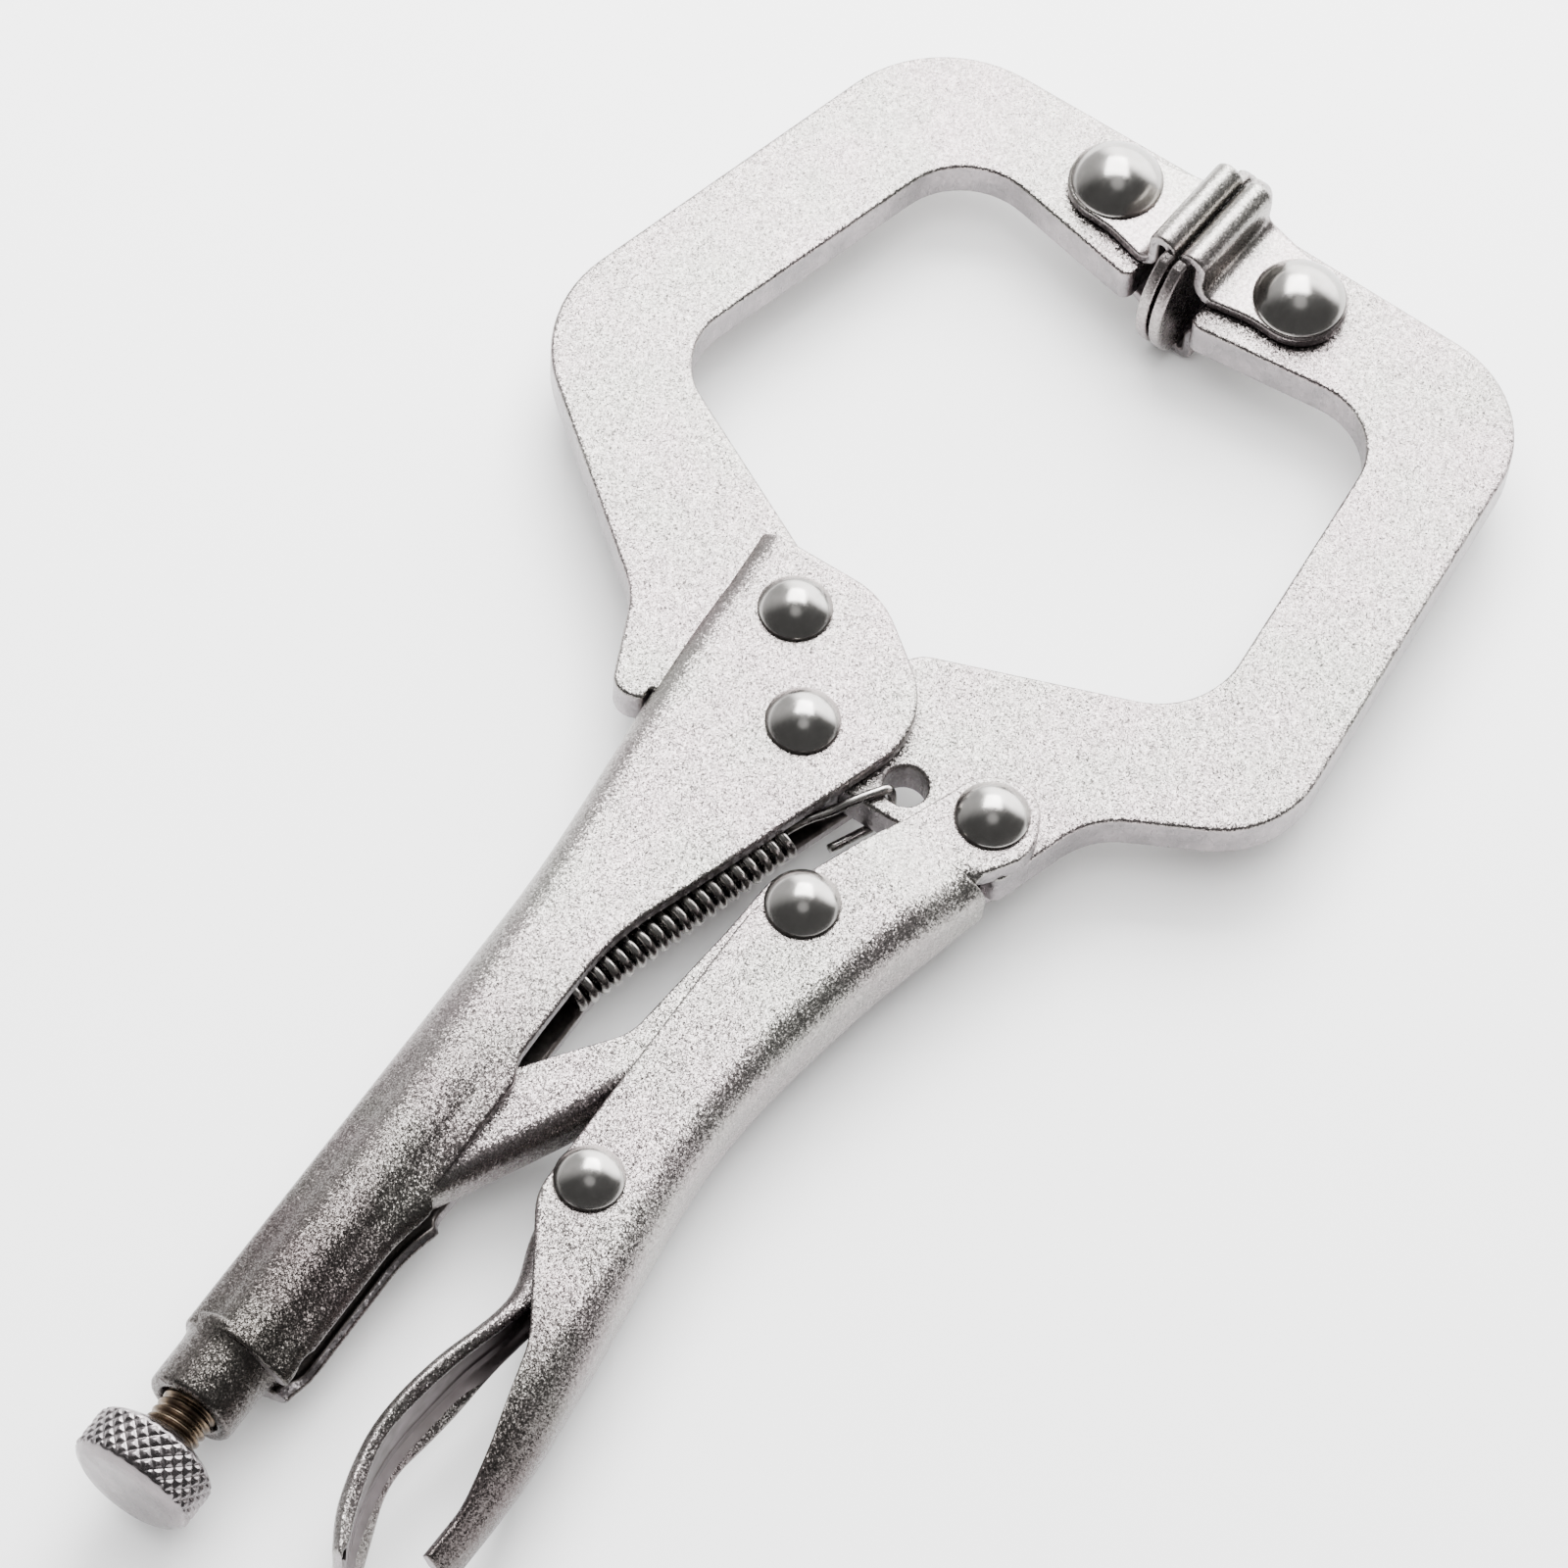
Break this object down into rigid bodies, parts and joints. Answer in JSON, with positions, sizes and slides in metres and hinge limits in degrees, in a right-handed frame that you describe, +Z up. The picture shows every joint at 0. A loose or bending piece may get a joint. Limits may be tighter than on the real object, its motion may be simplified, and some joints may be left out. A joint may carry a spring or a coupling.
{
  "type": "locking c clamp",
  "caption": "Lever-locked C clamp lying on its side: two flat C jaws with swivel pads, pressed handles, toggle link, release lever and a knurled adjusting knob.",
  "frame": {"origin": "middle of the underside of the clamp's bounding box, the clamp lying on its side, closed and locked", "axes": "+X along the handle towards the jaws, +Y towards the fixed jaw, +Z up, square to the flat jaws"},
  "size_m": [0.164, 0.0826, 0.0156],
  "materials": {
    "satin_nickel": "blasted and nickel plated, fine bright grain",
    "polished_steel": "polished plating",
    "bright_steel": "smooth bright plating",
    "oiled_steel": "oiled bronze-brown thread",
    "spring_steel": "dark oiled wire"
  },
  "bodies": {
    "frame": {"body_shell": "satin_nickel", "fixed_jaw": "satin_nickel", "fixed_jaw_rivet": "polished_steel", "jaw_pivot_rivet": "polished_steel", "fixed_pad_rivet": "polished_steel", "tension_spring": "spring_steel"},
    "moving_arm": {"moving_jaw": "satin_nickel", "lever_pivot_rivet": "polished_steel", "moving_pad_rivet": "polished_steel"},
    "hand_lever": {"lever": "satin_nickel", "link_pivot_rivet": "polished_steel", "release_rivet": "polished_steel"},
    "link": {"toggle_link": "satin_nickel"},
    "release": {"release_lever": "bright_steel"},
    "screw": {"adjusting_screw": "oiled_steel"},
    "knob": {"adjusting_knob": "bright_steel"},
    "frame_pad": {"fixed_pad": "satin_nickel"},
    "arm_pad": {"moving_pad": "satin_nickel"}
  },
  "joints": [
    {"name": "jaw_pivot", "type": "hinge", "parent": "frame", "child": "moving_arm", "pos_m": [0.00886, -0.00156, 0.0078], "axis": [0, 0, 1], "range_deg": [-25, 0], "deforming": ["tension_spring"]},
    {"name": "lever_pivot", "type": "hinge", "parent": "moving_arm", "child": "hand_lever", "pos_m": [0.01026, -0.02026, 0.0078], "axis": [0, 0, 1], "range_deg": [0, 75]},
    {"name": "link_pivot", "type": "hinge", "parent": "hand_lever", "child": "link", "pos_m": [-0.00684, -0.01176, 0.0078], "axis": [0, 0, 1], "range_deg": [-76, 0]},
    {"name": "release_pivot", "type": "hinge", "parent": "hand_lever", "child": "release", "pos_m": [-0.03884, -0.01146, 0.0078], "axis": [0, 0, 1], "range_deg": [0, 6]},
    {"name": "screw_travel", "type": "slide", "parent": "frame", "child": "screw", "axis": [-1, 0, 0], "range_m": [0, 0.01]},
    {"name": "knob_turn", "type": "hinge", "parent": "screw", "child": "knob", "pos_m": [-0.08, 0.00504, 0.0078], "axis": [-1, 0, 0], "range_deg": [0, 4501]},
    {"name": "fixed_pad_swivel", "type": "hinge", "parent": "frame", "child": "frame_pad", "pos_m": [0.07376, 0.00644, 0.0078], "axis": [0, 0, 1], "range_deg": [-12.5, 0]},
    {"name": "moving_pad_swivel", "type": "hinge", "parent": "moving_arm", "child": "arm_pad", "pos_m": [0.07216, -0.01416, 0.0078], "axis": [0, 0, 1], "range_deg": [0, 12.5]}
  ],
  "couplings": [
    {"joint": "lever_pivot", "follows": "jaw_pivot", "ratio": -3},
    {"joint": "link_pivot", "follows": "jaw_pivot", "ratio": 3.04},
    {"joint": "fixed_pad_swivel", "follows": "jaw_pivot", "ratio": 0.5},
    {"joint": "moving_pad_swivel", "follows": "jaw_pivot", "ratio": -0.5},
    {"joint": "knob_turn", "follows": "screw_travel", "rad_per_m": 7854}
  ]
}
